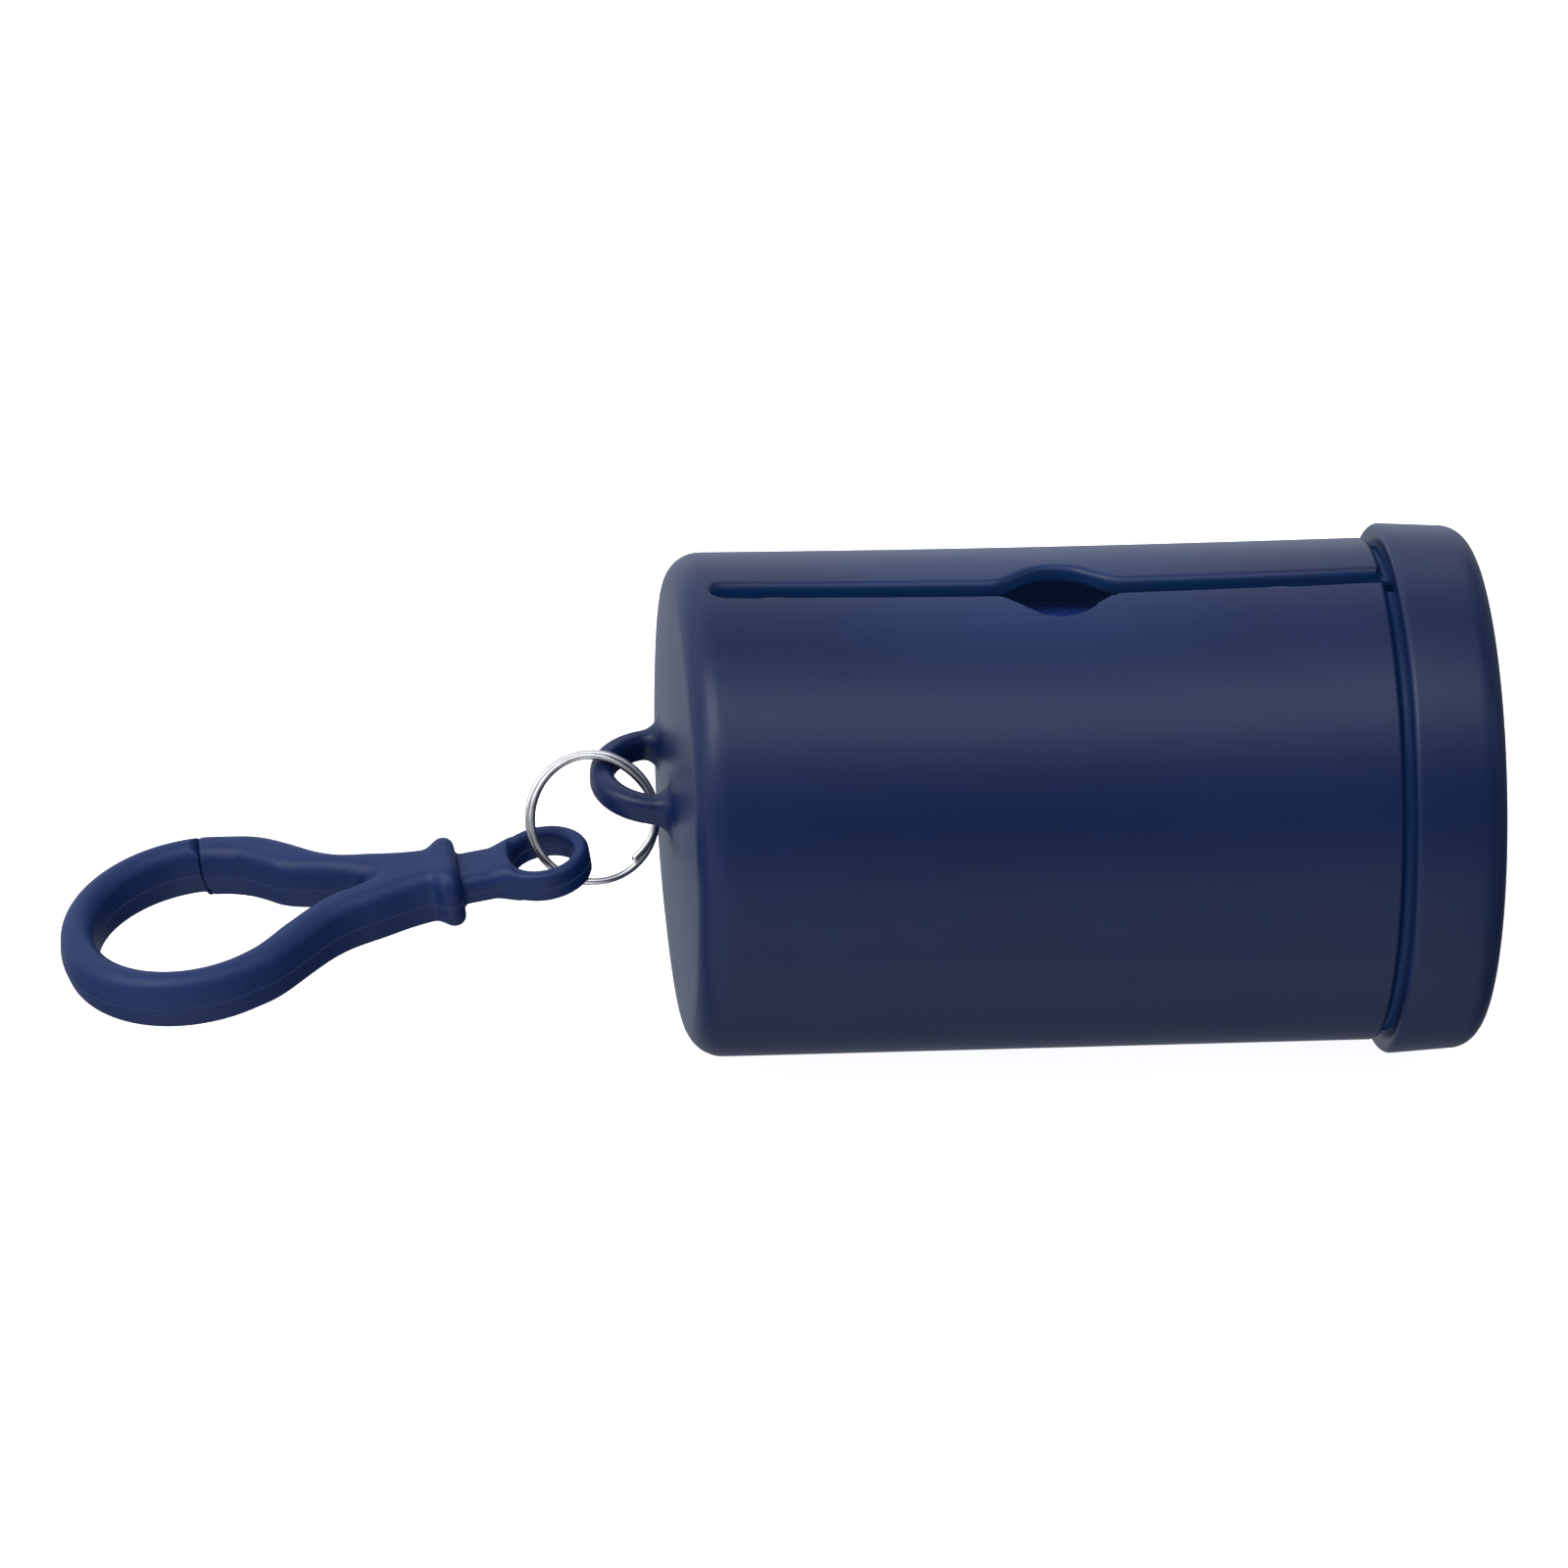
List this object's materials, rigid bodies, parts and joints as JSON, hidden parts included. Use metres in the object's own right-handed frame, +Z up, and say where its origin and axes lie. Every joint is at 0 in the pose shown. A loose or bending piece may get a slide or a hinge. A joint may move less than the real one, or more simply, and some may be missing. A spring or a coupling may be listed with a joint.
{
  "type": "dog poop bag dispenser",
  "caption": "Cylindrical pet waste bag dispenser: slotted canister with a push-on end cap and a bag roll inside, carried by a snap hook on a split ring.",
  "frame": {"origin": "centre of the end cap's flat outer face, on the canister's axis", "axes": "+X along the canister from its bail to its end cap, +Z up through the tear slot, +Y to the side that the hook's gate faces"},
  "size_m": [0.1259, 0.0472, 0.0472],
  "materials": {
    "navy_plastic": "satin moulded",
    "ring_steel": "polished wire",
    "core_paper": "plain pulp board",
    "bag_film": "thin soft film"
  },
  "bodies": {
    "canister": {"canister": "navy_plastic"},
    "cap": {"end_cap": "navy_plastic"},
    "roll": {"roll_core": "core_paper", "bag_roll": "bag_film", "loose_bag": "bag_film"},
    "ring": {"split_ring": "ring_steel"},
    "hook": {"snap_hook": "navy_plastic"},
    "gate": {"hook_gate": "navy_plastic"}
  },
  "joints": [
    {"name": "cap_pull", "type": "slide", "parent": "canister", "child": "cap", "axis": [1, 0, 0], "range_m": [0, 0.04]},
    {"name": "roll_spin", "type": "hinge", "parent": "canister", "child": "roll", "pos_m": [0, 0, -0.00143], "axis": [1, 0, 0], "continuous": true},
    {"name": "ring_swing", "type": "hinge", "parent": "canister", "child": "ring", "pos_m": [-0.07777, -0.0005, 0.003], "axis": [0, 1, 0], "range_deg": [0, 90]},
    {"name": "hook_swing", "type": "hinge", "parent": "ring", "child": "hook", "pos_m": [-0.08305, -0.00423, -0.00275], "axis": [0.6428, -0.4172, -0.6425], "range_deg": [-20, 50]},
    {"name": "gate_flex", "type": "hinge", "parent": "hook", "child": "gate", "pos_m": [-0.10053, -0.00212, -0.00592], "axis": [-0.177, -0.0056, 0.9842], "range_deg": [0, 24], "stiffness_Nm_per_rad": 0.14, "springref_deg": -1.72}
  ]
}
